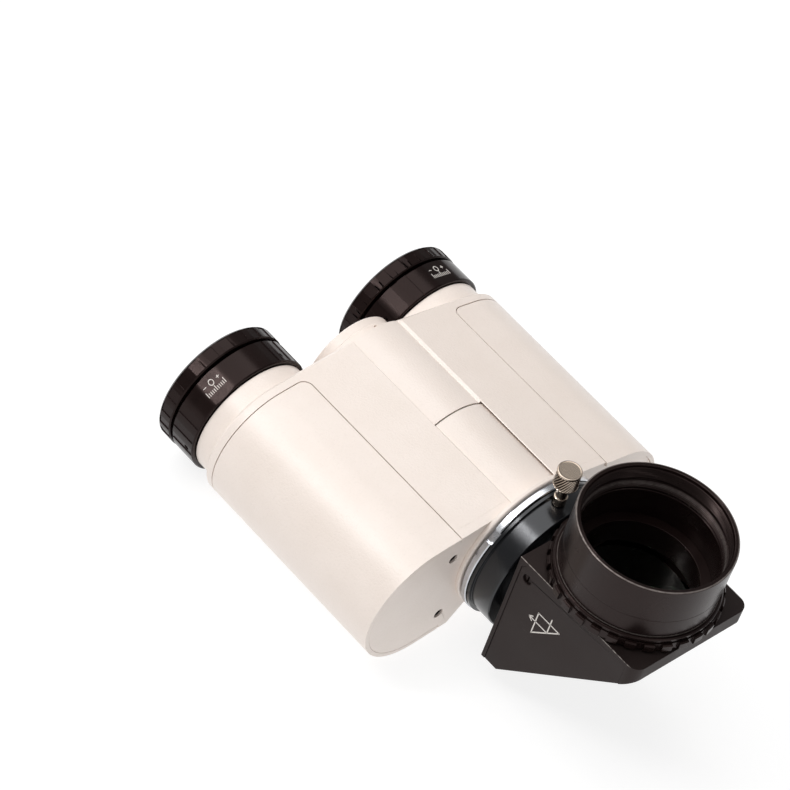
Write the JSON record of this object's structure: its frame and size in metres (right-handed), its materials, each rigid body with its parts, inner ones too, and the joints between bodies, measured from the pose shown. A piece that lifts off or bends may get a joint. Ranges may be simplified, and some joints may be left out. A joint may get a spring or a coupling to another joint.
{
  "type": "binocular viewer with prism diagonal",
  "caption": "Twin-eyepiece viewer head with folding prism housings, a quick-change bayonet, a right-angle prism diagonal and a telescope nosepiece.",
  "frame": {"origin": "on the nosepiece axis, at the shoulder that the focuser stops against", "axes": "+Z out of the nosepiece along its axis, +Y along the light axis from the diagonal to the eyes, +X to the left-eye half"},
  "size_m": [0.1243, 0.1726, 0.0824],
  "materials": {
    "paint_cream": "satin, fine orange peel",
    "screw_black": "black oxide",
    "anodised_black": "black anodised, satin",
    "anodised_charcoal": "black anodised, bead blasted",
    "silver": "turned, clear anodised",
    "nickel": "nickel plated",
    "brass": "machined",
    "steel": "machined",
    "glass": "polished, coated",
    "polymer": "acetal",
    "pad": "cork and rubber",
    "ring_panel": "black anodised, satin"
  },
  "bodies": {
    "right_half": {"right_frame": "paint_cream", "right_cover": "paint_cream", "right_front_plate": "paint_cream", "right_plate_screws": "screw_black", "right_path_prism": "glass", "right_prism_cradle": "anodised_black", "right_prism_clip": "steel", "right_collar": "paint_cream", "right_light_baffle": "anodised_black", "splitter_cell": "anodised_black", "splitter_prism": "glass", "splitter_retainer": "anodised_black", "hinge_sleeve": "steel", "hinge_washer": "polymer", "hinge_retainer": "brass", "entrance_flange": "paint_cream", "bayonet_ring": "silver", "bayonet_screws": "screw_black"},
    "left_half": {"left_frame": "paint_cream", "left_cover": "paint_cream", "left_front_plate": "paint_cream", "left_plate_screws": "screw_black", "left_path_prism": "glass", "left_prism_cradle": "anodised_black", "left_prism_clip": "steel", "left_collar": "paint_cream", "left_light_baffle": "anodised_black", "hinge_cap": "paint_cream"},
    "right_focus": {"right_focus_ring": "ring_panel", "right_focus_set_screws": "screw_black"},
    "left_focus": {"left_focus_ring": "ring_panel", "left_focus_set_screws": "screw_black"},
    "right_eyepiece": {"right_eyepiece_tube": "anodised_black", "right_clamp_collet": "brass"},
    "left_eyepiece": {"left_eyepiece_tube": "anodised_black", "left_clamp_collet": "brass"},
    "right_clamp": {"right_clamp_ring": "anodised_black"},
    "left_clamp": {"left_clamp_ring": "anodised_black"},
    "diagonal": {"quick_change_ring": "anodised_black", "neck_ring": "anodised_black", "diagonal_body": "anodised_charcoal", "diagonal_left_cover": "anodised_charcoal", "diagonal_right_cover": "anodised_charcoal", "side_cover_screws": "screw_black", "right_angle_prism": "glass", "prism_backing_plate": "steel", "prism_pads": "pad", "nosepiece_seat": "anodised_black", "nosepiece_tube": "anodised_black"},
    "clamp_pin": {"clamp_pin": "brass"},
    "thumbscrew": {"thumbscrew": "nickel"},
    "lock_ring": {"nosepiece_lock_ring": "anodised_black"}
  },
  "joints": [
    {"name": "ipd_hinge", "type": "hinge", "parent": "right_half", "child": "left_half", "pos_m": [0, 0.0426, -0.0286], "axis": [0, 1, 0], "range_deg": [-8, 66]},
    {"name": "diagonal_swivel", "type": "hinge", "parent": "right_half", "child": "diagonal", "pos_m": [0, 0.034, -0.0286], "axis": [0, 1, 0], "continuous": true},
    {"name": "right_focus_turn", "type": "hinge", "parent": "right_half", "child": "right_focus", "pos_m": [-0.03872, 0.1326, -0.03596], "axis": [0, 1, 0], "range_deg": [0, 270]},
    {"name": "right_eyepiece_slide", "type": "slide", "parent": "right_half", "child": "right_eyepiece", "axis": [0, 1, 0], "range_m": [0, 0.004]},
    {"name": "right_clamp_turn", "type": "hinge", "parent": "right_eyepiece", "child": "right_clamp", "pos_m": [-0.03872, 0.1416, -0.03596], "axis": [0, 1, 0], "range_deg": [0, 35]},
    {"name": "left_focus_turn", "type": "hinge", "parent": "left_half", "child": "left_focus", "pos_m": [0.0382, 0.1326, -0.03831], "axis": [0, 1, 0], "range_deg": [0, 270]},
    {"name": "left_eyepiece_slide", "type": "slide", "parent": "left_half", "child": "left_eyepiece", "axis": [0, 1, 0], "range_m": [0, 0.004]},
    {"name": "left_clamp_turn", "type": "hinge", "parent": "left_eyepiece", "child": "left_clamp", "pos_m": [0.0382, 0.1416, -0.03831], "axis": [0, 1, 0], "range_deg": [0, 35]},
    {"name": "clamp_pin_slide", "type": "slide", "parent": "diagonal", "child": "clamp_pin", "axis": [-0.0489, 0, 0.9988], "range_m": [0, 0.00139]},
    {"name": "thumbscrew_turn", "type": "hinge", "parent": "clamp_pin", "child": "thumbscrew", "pos_m": [-0.00147, 0.034, 0.00136], "axis": [-0.0489, 0, 0.9988], "range_deg": [0, 720]},
    {"name": "lock_ring_turn", "type": "hinge", "parent": "diagonal", "child": "lock_ring", "pos_m": [0, 0, -0.0036], "axis": [0, 0, 1], "range_deg": [0, 90]}
  ],
  "couplings": [
    {"joint": "right_eyepiece_slide", "follows": "right_focus_turn", "m_per_rad": 0.00084458},
    {"joint": "left_eyepiece_slide", "follows": "left_focus_turn", "m_per_rad": 0.00084458},
    {"joint": "thumbscrew_turn", "follows": "clamp_pin_slide", "rad_per_m": 9040}
  ]
}
